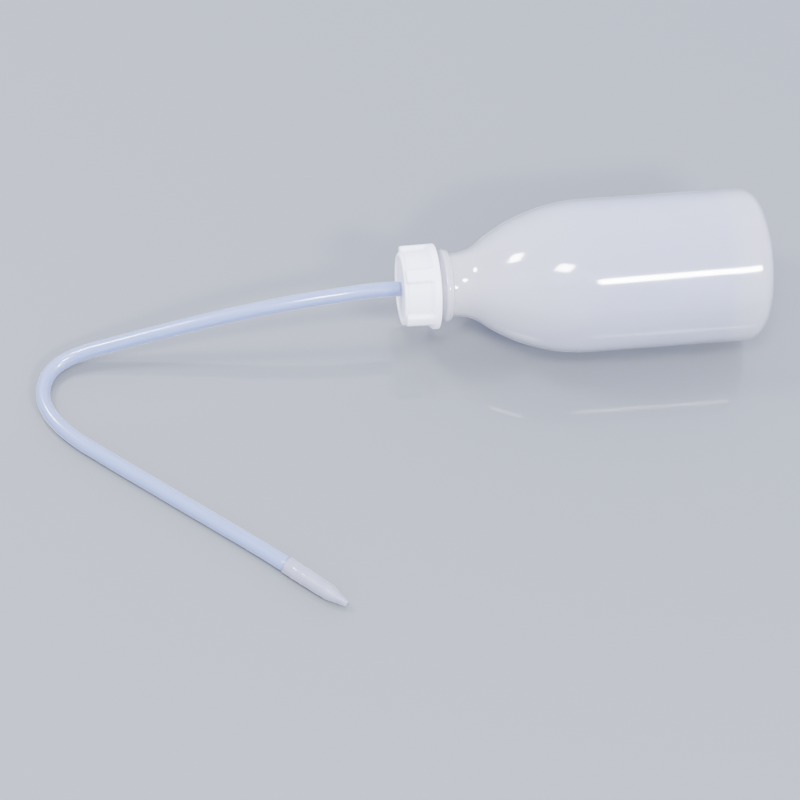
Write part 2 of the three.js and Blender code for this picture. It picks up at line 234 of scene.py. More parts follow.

# %% [markdown]
# ## The delivery hose
# A 6 mm tube with a 4 mm bore leaves the middle of the cap, comes down to the bench in a long easy
# curve, turns back in one bend that was formed with heat, and lies on the bench as far as its
# nozzle. The route is the same list that the imported model has. At the formed bend the tube is a
# little flattened in the plane of the bend, as any bent tube is.

# %% Hose
HOSE_FLOOR = HOSE_RADIUS + 0.1
NOZZLE_RADIUS = 3.4
HOSE_ROUTE = [
    (-72.1, 0, axis_z / MM),
    (-84.5, 0, 30.4),
    (-97.5, -0.5, 29.4),
    (-110.5, -0.7, 27.7),
    (-123.5, -0.9, 25.3),
    (-136, -1.1, 22.5),
    (-148.5, -1.4, 19.4),
    (-161, -1.8, 16.1),
    (-173.5, -2.4, 12.8),
    (-186, -3.1, 9.5),
    (-197, -4, 6.7),
    (-205, -6, 4.8),
    (-210.5, -9.6, 3.8),
    (-213.7, -15, 3.2),
    (-214.6, -21, HOSE_FLOOR),
    (-213.3, -27, HOSE_FLOOR),
    (-209.8, -33.3, HOSE_FLOOR),
    (-204.5, -39.5, HOSE_FLOOR),
    (-194, -48.6, HOSE_FLOOR),
    (-179.5, -60.4, HOSE_FLOOR),
    (-164.5, -72.5, HOSE_FLOOR),
    (-149.5, -84.6, HOSE_FLOOR),
    (-138, -94, 3.3),
    (-127.7, -102.8, NOZZLE_RADIUS + 0.1),
]
HOSE_RING_GAP = 0.0015
BEND_SHARE = 0.58
BEND_REACH = 0.1
BEND_NARROW = 0.1


def bend_width(share):
    """How wide the hose is in the plane of the bend, as a share of its diameter."""
    nearness = max(0.0, 1 - abs(share - BEND_SHARE) / BEND_REACH)
    return 1 - BEND_NARROW * nearness * nearness * (3 - 2 * nearness)


hose_points = [Vector(point) * MM for point in HOSE_ROUTE]
hose_line, hose_length = smooth_line(hose_points, HOSE_RING_GAP)
hose = swept_tube("hose", hose_line, HOSE_RADIUS * MM, HOSE_WALL * MM, narrow=bend_width)
print(f"hose: {hose_length * 1000:.0f} mm long, {len(hose_line)} rings")

# %% [markdown]
# ## The dip tube
# The same tube runs on inside the bottle, so that oil is drawn from the bottom. It leaves the cap
# on the axis and keeps a little of the coil that it was wound in, so it ends near the base, to one
# side. The imported node's box gives where it starts.

# %% Dip tube
DIP_STRAIGHT = 38
DIP_CURL_RADIUS = 480
DIP_CURL_DIRECTION = math.radians(210)
DIP_KNOTS = 8
DIP_END_GAP = 5
DIP_RING_GAP = 0.002

dip_start = (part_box("dip_tube")[0][0] - front_x) / MM
dip_end = total_length - BASE_RECESS - WALL - DIP_END_GAP
dip_points = [Vector((dip_start, 0, 0)), Vector((DIP_STRAIGHT / 2, 0, 0)), Vector((DIP_STRAIGHT, 0, 0))]
for i in range(1, DIP_KNOTS + 1):
    station = DIP_STRAIGHT + (dip_end - DIP_STRAIGHT) * i / DIP_KNOTS
    drift = DIP_CURL_RADIUS - math.sqrt(DIP_CURL_RADIUS**2 - (station - DIP_STRAIGHT) ** 2)
    side = math.cos(DIP_CURL_DIRECTION) * drift
    rise = math.sin(DIP_CURL_DIRECTION) * drift
    dip_points.append(Vector((station, side, rise)))
dip_points = [point * MM + AXIS + Vector((front_x, 0, 0)) for point in dip_points]
dip_line, dip_length = smooth_line(dip_points, DIP_RING_GAP)
dip = swept_tube("dip_pipe", dip_line, HOSE_RADIUS * MM, HOSE_WALL * MM)
print(f"dip tube: {dip_length * 1000:.0f} mm long")

# %% [markdown]
# ## Helpers for turned pieces
# The bottle, cap, seal and nozzle are all round, and were all made in turned moulds. A few points
# give half of the section, bmesh's spin turns them round the axis, and doubles are merged where the
# turn closes. Corners are rounded in the outline, because no moulded edge is perfectly sharp.

# %% Arcs and rounded corners in an outline
def arc(station, radius, size, start, end, steps):
    """Points on an arc about a centre. Angle 0 points towards the base and 90 degrees outward."""
    points = []
    for i in range(steps + 1):
        angle = start + (end - start) * i / steps
        points.append((station + size * math.cos(angle), radius + size * math.sin(angle)))
    return points


def rounded(corners, steps=4):
    """An outline of (station, radius, fillet) corners, with each fillet as a short arc."""
    points = []
    for i, corner in enumerate(corners):
        here = Vector(corner[:2])
        fillet = corner[2] if len(corner) > 2 else 0
        if not fillet:
            points.append(tuple(here))
            continue
        back = (Vector(corners[i - 1][:2]) - here).normalized()
        ahead = (Vector(corners[(i + 1) % len(corners)][:2]) - here).normalized()
        half = back.angle(ahead) / 2
        reach = fillet / math.tan(half)
        centre = here + (back + ahead).normalized() * fillet / math.sin(half)
        start = here + back * reach - centre
        sweep = start.angle_signed(here + ahead * reach - centre)
        for step in range(steps + 1):
            turned_arm = Matrix.Rotation(-sweep * step / steps, 2) @ start
            points.append(tuple(centre + turned_arm))
    return points


print("a 1 mm corner:", [f"{x:.2f}, {y:.2f}" for x, y in rounded([(0, 0), (0, 5, 1), (5, 5)], 2)])


# %% Spinning an outline round the axis
def outline_chain(bm, points, closed):
    """Puts an outline into a bmesh above the axis, and numbers its points."""
    number = bm.verts.layers.int.new("number")
    verts = []
    for i, (station, radius) in enumerate(points):
        vert = bm.verts.new((front_x + station * MM, 0, axis_z + radius * MM))
        vert[number] = i + 1
        verts.append(vert)
    pairs = list(zip(verts, verts[1:]))
    if closed:
        pairs.append((verts[-1], verts[0]))
    edges = [bm.edges.new(pair) for pair in pairs]
    return verts + edges


def spin_on(bm, geometry, angle, steps):
    """Spins the outline on by an angle and returns its new end."""
    spun = bmesh.ops.spin(
        bm, geom=geometry, cent=AXIS, axis=(1, 0, 0), dvec=(0, 0, 0), angle=angle, steps=steps
    )
    return spun["geom_last"]


def turned(points, closed=True, steps=160):
    """A full turn of an outline, merged, with its faces outward."""
    bm = bmesh.new()
    chain = outline_chain(bm, points, closed)
    bmesh.ops.spin(
        bm,
        geom=chain,
        cent=AXIS,
        axis=(1, 0, 0),
        dvec=(0, 0, 0),
        angle=math.tau,
        steps=steps,
        use_merge=True,
    )
    bmesh.ops.remove_doubles(bm, verts=bm.verts, dist=1e-6)
    bmesh.ops.recalc_face_normals(bm, faces=bm.faces)
    return bm


def angle_of(point):
    """The angle round the axis, from +Y towards +Z, in degrees."""
    return math.degrees(math.atan2(point.z - axis_z, point.y)) % 360


def moved_out(vert, station, radius):
    """Puts a vertex at a station and a radius, at the angle where it is."""
    middle = Vector((vert.co.x, 0, axis_z))
    arm = (vert.co - middle).normalized()
    vert.co = Vector((front_x + station * MM, 0, axis_z)) + arm * radius * MM


print(f"straight up is at {angle_of(AXIS + Vector((0, 0, 1))):.0f} degrees round the axis")


# %% [markdown]
# ## Threads
# Bottle threads are coarse and rounded, so that a soft cap can ride over them and a mould can let
# go of them. A spin with a step along the axis makes a helix from one small section. The two ends
# fade into the wall, and a Boolean joins the ridge to its piece as one closed surface.

# %% A thread ridge
THREAD_STEPS = 90
ROOT_HALF = 1.0
CREST_HALF = 0.45
ROOT_SINK = 0.4
FADE_IN = 12
FADE_FROM = 0.08
THREAD_RISE = THREAD_PITCH * THREAD_TURNS


def thread_ridge(name, root, crest, start):
    """A helical ridge between a root radius and a crest radius, in millimetres."""
    sunk = root + math.copysign(ROOT_SINK, root - crest)
    section = [
        (start - ROOT_HALF, sunk),
        (start - ROOT_HALF, root),
        (start - CREST_HALF, crest),
        (start + CREST_HALF, crest),
        (start + ROOT_HALF, root),
        (start + ROOT_HALF, sunk),
    ]
    # The crest's two points, by their numbers in the section.
    crest_place = {3: -CREST_HALF, 4: CREST_HALF}
    bm = bmesh.new()
    chain = outline_chain(bm, section, True)
    start_face = bm.faces.new([item for item in chain if isinstance(item, bmesh.types.BMVert)])
    bmesh.ops.spin(
        bm,
        geom=[start_face],
        cent=AXIS,
        axis=(1, 0, 0),
        dvec=(THREAD_RISE / THREAD_STEPS * MM, 0, 0),
        angle=math.tau * THREAD_TURNS,
        steps=THREAD_STEPS,
        use_duplicate=False,
    )
    number = bm.verts.layers.int["number"]
    for vert in bm.verts:
        if vert[number] in crest_place:
            station = (vert.co.x - front_x) / MM
            share = (station - crest_place[vert[number]] - start) / THREAD_RISE
            height = FADE_FROM + FADE_IN * max(0, min(share, 1 - share))
            moved_out(vert, station, root + (crest - root) * min(1, height))
    bmesh.ops.recalc_face_normals(bm, faces=bm.faces)
    return finished(name, bm)


print(f"the thread climbs {THREAD_RISE} mm in {THREAD_TURNS} turns")


# %% How a ridge is joined to its piece
def joined(base, extra, sharp=40):
    """Joins another closed piece to the base as one surface, and removes the other piece."""
    union = base.modifiers.new("union", "BOOLEAN")
    union.operation = "UNION"
    union.solver = "EXACT"
    union.object = extra
    bpy.context.view_layer.update()
    graph = bpy.context.evaluated_depsgraph_get()
    mesh = bpy.data.meshes.new_from_object(base.evaluated_get(graph))
    base.modifiers.remove(union)
    base.data = mesh
    bpy.data.objects.remove(extra)
    mesh.polygons.foreach_set("use_smooth", [True] * len(mesh.polygons))
    mesh.set_sharp_from_angle(angle=math.radians(sharp))
    print(f"{base.name}: {len(mesh.polygons)} faces with its ridge")
    return base


# %% [markdown]
# ## The squeeze bottle
# A blown bottle has a nearly even wall, so its inside is the outside moved in by the wall. The
# outline runs from the middle of the base, over the foot ring and the heel, up the body, over the
# long shoulder to the waist and the collar, and back down the inside. The mould closes along the
# whole bottle, and leaves a fine line of flash on both sides. The outline is spun in four goes, two
# long ones and two very short ones, so that the flash gets its own narrow columns of faces.

# %% The skin of the bottle's outline
QUARTER = math.pi / 2
HEEL_STEPS = 14
BODY_STEPS = 24
SHOULDER_STEPS = 26
WAIST_STEPS = 12
shoulder_angle = math.acos(1 - (body_radius - WAIST_RADIUS) / (WAIST_ARC + SHOULDER_ARC))
shoulder_end = WAIST_STATION + (WAIST_ARC + SHOULDER_ARC) * math.sin(shoulder_angle)


def body_skin(inset):
    """The skin from the heel to the waist, moved inward by an inset."""
    heel = arc(
        total_length - HEEL_ARC,
        body_radius - HEEL_ARC,
        HEEL_ARC - inset,
        0,
        QUARTER,
        HEEL_STEPS,
    )
    straight = total_length - HEEL_ARC - shoulder_end
    steps = [straight * i / BODY_STEPS for i in range(1, BODY_STEPS)]
    body = [(total_length - HEEL_ARC - step, body_radius - inset) for step in steps]
    shoulder = arc(
        shoulder_end,
        body_radius - SHOULDER_ARC,
        SHOULDER_ARC - inset,
        QUARTER,
        QUARTER + shoulder_angle,
        SHOULDER_STEPS,
    )
    waist = arc(
        WAIST_STATION,
        WAIST_RADIUS + WAIST_ARC,
        WAIST_ARC + inset,
        -QUARTER + shoulder_angle,
        -QUARTER,
        WAIST_STEPS,
    )
    return heel + body + shoulder + waist[1:]


print(f"the shoulder turns through {math.degrees(shoulder_angle):.0f} degrees")

# %% The whole outline
foot_outer = body_radius - HEEL_ARC
foot_inner = foot_outer - FOOT_WIDTH
collar_front = cap_length + 1.8
base_outside = rounded(
    [
        (total_length - BASE_RECESS - 0.5, 0),
        (total_length - BASE_RECESS - 0.4, foot_inner * 0.5, 6),
        (total_length - BASE_RECESS, foot_inner - 1.4, 0.8),
        (total_length, foot_inner, 0.5),
        (total_length, foot_outer - 0.01),
    ]
)
collar = rounded(
    [
        (collar_front + 4.2, WAIST_RADIUS + 0.05),
        (collar_front + 3.9, WAIST_RADIUS + 0.1, 0.3),
        (collar_front + 3.3, 13.9, 0.5),
        (collar_front + 2.75, 14.3, 0.25),
        (collar_front + 2.45, 13.95, 0.12),
        (collar_front + 2.1, 14.5, 0.3),
        (collar_front + 0.8, 14.5, 0.4),
        (collar_front, WAIST_RADIUS, 0.3),
        (collar_front - 0.8, NECK_RADIUS, 0.5),
        (mouth_station + 1, NECK_RADIUS),
        (mouth_station, NECK_RADIUS, 0.5),
        (mouth_station, MOUTH_RADIUS, 0.3),
        (WAIST_STATION - 3.5, MOUTH_RADIUS + 0.5, 4),
        (WAIST_STATION - 0.5, WAIST_RADIUS - WALL),
    ]
)
base_inside = rounded(
    [
        (total_length - WALL, foot_outer - 0.01),
        (total_length - WALL, foot_inner - 0.6, 0.6),
        (total_length - BASE_RECESS - WALL, foot_inner - 1.9, 0.8),
        (total_length - BASE_RECESS - WALL - 0.4, foot_inner * 0.5, 6),
        (total_length - BASE_RECESS - WALL - 0.5, 0),
    ]
)
outer_skin = body_skin(0)
bottle_outline = base_outside + outer_skin + collar + body_skin(WALL)[::-1] + base_inside
seam_first = 1
seam_last = len(base_outside) + len(outer_skin)
print(f"bottle outline: {len(bottle_outline)} points")

# %% The bottle, with its mould line
SEAM_ANGLE = math.radians(1.3)
SEAM_HEIGHT = 0.14
SEAM_UNEVEN = 0.5
SEAM_PATCH = 5
SEAM_SIDES = (math.radians(32), math.radians(212))
HALF_STEPS = 90
BOTTLE_SHARP = 35

bm = bmesh.new()
chain = outline_chain(bm, bottle_outline, False)
bmesh.ops.rotate(
    bm,
    verts=bm.verts,
    cent=AXIS,
    matrix=Matrix.Rotation(SEAM_SIDES[0] - QUARTER + SEAM_ANGLE / 2, 3, "X"),
)
crests = []
for side in SEAM_SIDES:
    chain = spin_on(bm, chain, math.pi - SEAM_ANGLE, HALF_STEPS)
    chain = spin_on(bm, chain, SEAM_ANGLE / 2, 1)
    crests += [item for item in chain if isinstance(item, bmesh.types.BMVert)]
    chain = spin_on(bm, chain, SEAM_ANGLE / 2, 1)
number = bm.verts.layers.int["number"]
bmesh.ops.recalc_face_normals(bm, faces=bm.faces)
bm.normal_update()
for vert in crests:
    if seam_first < vert[number] <= seam_last:
        uneven = 1 + SEAM_UNEVEN * noise.noise(vert.co / (SEAM_PATCH * MM))
        vert.co += vert.normal * SEAM_HEIGHT * uneven * MM
bmesh.ops.remove_doubles(bm, verts=bm.verts, dist=1e-6)
bmesh.ops.recalc_face_normals(bm, faces=bm.faces)
bottle = finished("bottle", bm, BOTTLE_SHARP)
neck_thread = thread_ridge("neck_thread", NECK_RADIUS, THREAD_RADIUS, THREAD_START)
bottle = joined(bottle, neck_thread, BOTTLE_SHARP)

# %% [markdown]
# ## The screw cap
# The cap is injection moulded: a crown with a raised rim round a sunk face, a skirt with a little
# draft, five gripping lugs and a flange at the rear. All of it but the lugs is one spin. The lugs
# could be boxes joined on, but then they would need blends. Instead a second outline is drawn with
# the lug's height, point for point, and the columns that fall in a lug are moved across to it.

# %% The cap's two outlines
CAP_TOP_STATION = 2.2
HOLE_RADIUS = HOSE_RADIUS + 0.06
FLANGE_START = cap_length - 2.3


def cap_outline(front_wall, step_radius, skirt_front, skirt_rear):
    """The cap's section; the four sizes are what changes between the skirt and a lug."""
    return rounded(
        [
            (0.6, HOLE_RADIUS, 0.15),
            (0.6, 12.3, 0.3),
            (0, 12.6, 0.25),
            (0, 13.9, 0.55),
            (0.5, 14.4, 0.3),
            (front_wall, step_radius, 0.08),
            (front_wall + 0.15, skirt_front, 0.4),
            (FLANGE_START - 1.6, skirt_rear, 0.6),
            (FLANGE_START, 16.85, 0.4),
            (cap_length, 16.9, 0.3),
            (cap_length, THREAD_RADIUS + THREAD_CLEARANCE + 0.3, 0.2),
            (cap_length - 0.5, THREAD_RADIUS + THREAD_CLEARANCE, 0.2),
            (CAP_TOP_STATION, THREAD_RADIUS + THREAD_CLEARANCE, 0.4),
            (CAP_TOP_STATION, HOLE_RADIUS, 0.15),
        ]
    )


skirt_outline = cap_outline(1.45, 14.42, 15.0, 15.3)
lug_outline = cap_outline(0.72, 14.4, 16.7, 16.8)
print(f"cap outlines: {len(skirt_outline)} points for the skirt, {len(lug_outline)} for a lug")

# %% The cap, with its lugs and thread
LUG_COUNT = 5
LUG_HALF_ANGLE = 11
FIRST_LUG_ANGLE = 106
CAP_STEPS = 360
CAP_SHARP = 38

# How far out a lug's first columns stand, one degree apart, so that its edge is round.
LUG_EDGE = (0.3, 0.72, 0.92, 0.99)


def lug_share(degrees):
    """0 on the skirt, 1 on a lug, and in between on the rounded edge of a lug."""
    pitch = 360 / LUG_COUNT
    off_centre = abs((degrees - FIRST_LUG_ANGLE + pitch / 2) % pitch - pitch / 2)
    inside = LUG_HALF_ANGLE - off_centre
    if inside < 0:
        return 0.0
    return LUG_EDGE[int(inside)] if inside < len(LUG_EDGE) else 1.0


bm = turned(skirt_outline, steps=CAP_STEPS)
number = bm.verts.layers.int["number"]
for vert in bm.verts:
    share = lug_share(angle_of(vert.co))
    if share:
        plain = skirt_outline[vert[number] - 1]
        raised = lug_outline[vert[number] - 1]
        moved_out(vert, *Vector(plain).lerp(Vector(raised), share))
cap = finished("cap", bm, CAP_SHARP)
cap_thread = thread_ridge(
    "cap_thread",
    THREAD_RADIUS + THREAD_CLEARANCE,
    NECK_RADIUS + THREAD_CLEARANCE,
    THREAD_START + THREAD_PITCH / 2,
)
cap = joined(cap, cap_thread, CAP_SHARP)

# %% [markdown]
# ## The seal and the nozzle
# The seal is a soft disc cut from sheet, which lies in the cap on the bottle's mouth and grips the
# tube. The nozzle is a small moulding pushed over the hose's end: a barrel with two low beads and a
# cone down to a fine outlet, with a bore all the way through.

# %% Seal
SEAL_FRONT = (seal_low[0] - front_x) / MM
SEAL_REAR = (seal_high[0] - front_x) / MM
SEAL_EDGE = 11.05
seal = finished(
    "seal_disc",
    turned(
        rounded(
            [
                (SEAL_FRONT, HOLE_RADIUS, 0.1),
                (SEAL_FRONT, SEAL_EDGE, 0.2),
                (SEAL_REAR, SEAL_EDGE, 0.2),
                (SEAL_REAR, HOLE_RADIUS, 0.1),
            ]
        )
    ),
)

# %% Nozzle
NOZZLE_LENGTH = 27.9
NOZZLE_HEADING = math.radians(-41.4)
NOZZLE_STEPS = 72
nozzle_outline = rounded(
    [
        (0, 2.05),
        (0, 3.3, 0.2),
        (3.7, 3.28, 0.6),
        (4.2, 3.38, 0.5),
        (4.8, 3.38, 0.5),
        (5.3, 3.27, 0.6),
        (7.8, 3.26, 0.6),
        (8.3, 3.36, 0.5),
        (8.9, 3.36, 0.5),
        (9.4, 3.24, 0.6),
        (15.8, 3.22, 0.3),
        (16.1, 3.14, 0.3),
        (19.7, 3.05, 3),
        (NOZZLE_LENGTH, 1.05, 0.25),
        (NOZZLE_LENGTH, 0.6, 0.1),
        (NOZZLE_LENGTH - 4, 0.65),
        (12, 2.0),
        (11.4, 2.05),
    ]
)
bm = turned(nozzle_outline, steps=NOZZLE_STEPS)
bmesh.ops.translate(bm, verts=bm.verts, vec=-AXIS - Vector((front_x, 0, 0)))
bmesh.ops.rotate(bm, verts=bm.verts, cent=(0, 0, 0), matrix=Matrix.Rotation(NOZZLE_HEADING, 3, "Z"))
bmesh.ops.translate(bm, verts=bm.verts, vec=hose_points[-1])
nozzle = finished("nozzle", bm)

# %% [markdown]
# ## Plastics
# Every part is polyethylene, but each was shaped in its own way. Colours are written as the hex
# values that a colour picker shows, and one function turns them into the light values that the
# shader works in. One more function adds a node with its settings and links.

# %% Colour and node helpers
def colour(code):
    """A #rrggbb colour as linear light, with full alpha."""
    channels = [int(code[i : i + 2], 16) / 255 for i in (1, 3, 5)]
    linear = [c / 12.92 if c <= 0.04045 else ((c + 0.055) / 1.055) ** 2.4 for c in channels]
    return (*linear, 1.0)


def fine(millimetres):
    """The texture scale that gives a pattern of this size."""
    return 1 / (millimetres * MM)


def add_node(tree, kind, inputs=None, **settings):
    """Adds a node, sets its properties, and sets or links its inputs."""
    node = tree.nodes.new(kind)
    for name, value in settings.items():
        setattr(node, name, value)
    for name, value in (inputs or {}).items():
        if isinstance(value, bpy.types.NodeSocket):
            tree.links.new(value, node.inputs[name])
        else:
            node.inputs[name].default_value = value
    return node


def described(material):
    """Prints what a finished material is made of, and hands it on."""
    kinds = {node.bl_label for node in material.node_tree.nodes}
    print(f"{material.name}: {len(material.node_tree.nodes)} nodes of {len(kinds)} kinds")
    return material


def new_material(name):
    """An empty material with its output node."""
    material = bpy.data.materials.new(name)
    material.use_nodes = True
    tree = material.node_tree
    tree.nodes.clear()
    return material, tree, add_node(tree, "ShaderNodeOutputMaterial")


print("mid grey, #808080, is", [round(value, 3) for value in colour("#808080")])


# %% [markdown]
# ### Natural low-density polyethylene, blown
# With no pigment the plastic is milky: light scatters a few millimetres through it, so the whole
# bottle glows, and a little goes straight on, so near things show softly through the wall. Where
# blowing has stretched the wall thin, round the body, it looks bluish, as thin milk does, and at
# the heel, the shoulder and the neck it stays thicker and whiter. The soft tube that was blown had
# faint lines from its die, which still run along the bottle. A clear coat over the rough, milky
# body gives the crisp highlights of the waxy skin.

# %% How thick the blown wall is
# Each pair is a distance from the base in millimetres, and how thick the wall is there, 0 to 1.
WALL_PROFILE = ((118, 1.0), (72, 0.15), (42, 0.0), (19, 0.0), (12.5, 0.6), (3, 0.75), (0.8, 0.3))
first_place, last_place = (bottle_high[0] - WALL_PROFILE[i][0] * MM for i in (0, -1))


def wall_thickness(tree, place):
    """0 where the wall is thinnest, round the body, and 1 at the neck and the heel."""
    along = add_node(tree, "ShaderNodeSeparateXYZ", {"Vector": place}).outputs["X"]
    share = add_node(
        tree,
        "ShaderNodeMapRange",
        {"Value": along, "From Min": first_place, "From Max": last_place},
    )
    ramp = add_node(tree, "ShaderNodeValToRGB", {"Fac": share.outputs["Result"]})
    stops = ramp.color_ramp.elements
    for from_base, _thickness in WALL_PROFILE[1:-1]:
        place_there = bottle_high[0] - from_base * MM
        stops.new((place_there - first_place) / (last_place - first_place))
    for stop, (_from_base, thickness) in zip(stops, WALL_PROFILE):
        stop.color = (thickness, thickness, thickness, 1)
    return ramp.outputs["Color"]


print(f"the wall's thickness is given from x {first_place:.3f} m to {last_place:.3f} m")


# %% Bottle plastic
def blown_polyethylene():
    """Milky, bluish where it is thin, with a waxy skin."""
    material, tree, output = new_material("blown_ldpe_natural")
    place = add_node(tree, "ShaderNodeTexCoord").outputs["Object"]
    stretched = add_node(tree, "ShaderNodeMapping", {"Vector": place, "Scale": (0.3, 1, 1)})
    cloud = add_node(
        tree,
        "ShaderNodeTexNoise",
        {"Vector": stretched.outputs["Vector"], "Scale": fine(20), "Detail": 3.0, "Roughness": 0.55},
    )
    uneven = add_node(
        tree,
        "ShaderNodeMapRange",
        {"Value": cloud.outputs["Fac"], "To Min": -0.18, "To Max": 0.28},
    )
    thick = add_node(tree, "ShaderNodeMath", operation="ADD", use_clamp=True)
    tree.links.new(wall_thickness(tree, place), thick.inputs[0])
    tree.links.new(uneven.outputs["Result"], thick.inputs[1])
    milk = add_node(
        tree,
        "ShaderNodeMix",
        {"Factor": thick.outputs["Value"], "A": colour("#d8deff"), "B": colour("#f6f3ff")},
        data_type="RGBA",
    )
    waves = add_node(
        tree,
        "ShaderNodeTexNoise",
        {"Vector": stretched.outputs["Vector"], "Scale": fine(14), "Detail": 1.0},
    )
    wavy = add_node(
        tree,
        "ShaderNodeBump",
        {"Height": waves.outputs["Fac"], "Strength": 0.25, "Distance": 0.0003},
    )
    # Real die lines are a few tenths of a millimetre apart, and are drawn coarser so that they show.
    drawn = add_node(tree, "ShaderNodeMapping", {"Vector": place, "Scale": (0.02, 1, 1)})
    die_lines = add_node(
        tree,
        "ShaderNodeTexNoise",
        {"Vector": drawn.outputs["Vector"], "Scale": fine(0.9), "Detail": 2.0},
    )
    skin = add_node(
        tree,
        "ShaderNodeBump",
        {
            "Height": die_lines.outputs["Fac"],
            "Strength": 0.12,
            "Distance": 0.00005,
            "Normal": wavy.outputs["Normal"],
        },
    )
    rough = add_node(
        tree,
        "ShaderNodeMapRange",
        {"Value": cloud.outputs["Fac"], "To Min": 0.09, "To Max": 0.13},
    )
    shader = add_node(
        tree,
        "ShaderNodeBsdfPrincipled",
        {
            "Base Color": milk.outputs[2],
            "Roughness": rough.outputs["Result"],
            "IOR": 1.51,
            "Transmission Weight": 0.62,
            "Subsurface Weight": 1.0,
            "Subsurface Radius": (1.0, 1.0, 1.0),
            "Subsurface Scale": 0.006,
            "Coat Weight": 0.9,
            "Coat Roughness": 0.06,
            "Coat IOR": 1.51,
            "Normal": skin.outputs["Normal"],
        },
    )
    tree.links.new(shader.outputs["BSDF"], output.inputs["Surface"])
    return material


bottle_plastic = described(blown_polyethylene())

# %% [markdown]
# ### White polyethylene, injection moulded
# The cap has white pigment, so no light gets through, but the plastic is soft-edged: light enters
# and leaves a millimetre or two away. The mould was polished by hand, which leaves a satin skin
# with very fine marks.

# %% Cap plastic
def moulded_white():
    """White and soft-edged, with a satin skin."""
    material, tree, output = new_material("moulded_pe_white")
    place = add_node(tree, "ShaderNodeTexCoord").outputs["Object"]
    flow = add_node(tree, "ShaderNodeTexNoise", {"Vector": place, "Scale": fine(9), "Detail": 2.0})
    tone = add_node(
        tree,
        "ShaderNodeMix",
        {"Factor": flow.outputs["Fac"], "A": colour("#e7e6f6"), "B": colour("#f1f0fc")},
        data_type="RGBA",
    )
    # The mould's polishing marks are finer than this, and are drawn coarser so that they show.
    marks = add_node(tree, "ShaderNodeTexNoise", {"Vector": place, "Scale": fine(0.5), "Detail": 3.0})
    rough = add_node(
        tree,
        "ShaderNodeMapRange",
        {"Value": marks.outputs["Fac"], "To Min": 0.36, "To Max": 0.5},
    )
    skin = add_node(
        tree,
        "ShaderNodeBump",
        {"Height": marks.outputs["Fac"], "Strength": 0.25, "Distance": 0.00004},
    )
    shader = add_node(
        tree,
        "ShaderNodeBsdfPrincipled",
        {
            "Base Color": tone.outputs[2],
            "Roughness": rough.outputs["Result"],
            "IOR": 1.51,
            "Subsurface Weight": 1.0,
            "Subsurface Radius": (1.0, 0.95, 0.95),
            "Subsurface Scale": 0.003,
            "Normal": skin.outputs["Normal"],
        },
    )
    tree.links.new(shader.outputs["BSDF"], output.inputs["Surface"])
    return material


cap_plastic = described(moulded_white())

# %% [markdown]
# ### Natural polyethylene tube, extruded
# The tube is clearer than the bottle, because its wall is thin and it was drawn smooth. Its middle
# shows the bore, faintly blue, between two lighter edges where one looks along the wall. A sheen
# stands for those light edges, and a coat gives the narrow highlight along the top. The die leaves
# fine lines that run the length of the tube, so they are drawn on the straight tube's own
# coordinates and follow it round the bend. Inside the bottle the same tube is lit from all sides
# by the milky wall and shows no bluish bore, so the dip tube gets a paler version.

# %% Tube plastic
def extruded_tube(name, dark, light, clearness):
    """Tube plastic between two tones, and how much light goes straight through it."""
    material, tree, output = new_material(name)
    straight = add_node(tree, "ShaderNodeAttribute", attribute_name="straight").outputs["Vector"]
    drawn = add_node(tree, "ShaderNodeMapping", {"Vector": straight, "Scale": (1, 1, 0.02)})
    # The lines are a few tenths of a millimetre apart, and are drawn coarser so that they show.
    lines = add_node(
        tree,
        "ShaderNodeTexNoise",
        {"Vector": drawn.outputs["Vector"], "Scale": fine(0.6), "Detail": 2.0},
    )
    tone = add_node(
        tree,
        "ShaderNodeMix",
        {"Factor": lines.outputs["Fac"], "A": colour(dark), "B": colour(light)},
        data_type="RGBA",
    )
    skin = add_node(
        tree,
        "ShaderNodeBump",
        {"Height": lines.outputs["Fac"], "Strength": 0.2, "Distance": 0.00004},
    )
    shader = add_node(
        tree,
        "ShaderNodeBsdfPrincipled",
        {
            "Base Color": tone.outputs[2],
            "Roughness": 0.3,
            "IOR": 1.51,
            "Transmission Weight": clearness,
            "Subsurface Weight": 0.5,
            "Subsurface Radius": (1.0, 1.0, 1.1),
            "Subsurface Scale": 0.002,
            "Sheen Weight": 1.0,
            "Sheen Roughness": 0.3,
            "Sheen Tint": colour("#f3f1f7"),
            "Coat Weight": 1.0,
            "Coat Roughness": 0.06,
            "Coat IOR": 1.51,
            "Normal": skin.outputs["Normal"],
        },
    )
    tree.links.new(shader.outputs["BSDF"], output.inputs["Surface"])
    return material


hose_plastic = described(extruded_tube("extruded_pe_tube", "#8299d2", "#a1b3e2", 0.5))
dip_plastic = described(extruded_tube("extruded_pe_tube_lit_inside", "#efecf3", "#fcfbfd", 0.0))

# %% [markdown]
# ### Natural polyethylene, moulded thick
# The nozzle is the same clear-milky plastic as the bottle, but thicker for its size and from a
# small plain mould, so it looks cloudier and greyer, with light edges as the tube has.

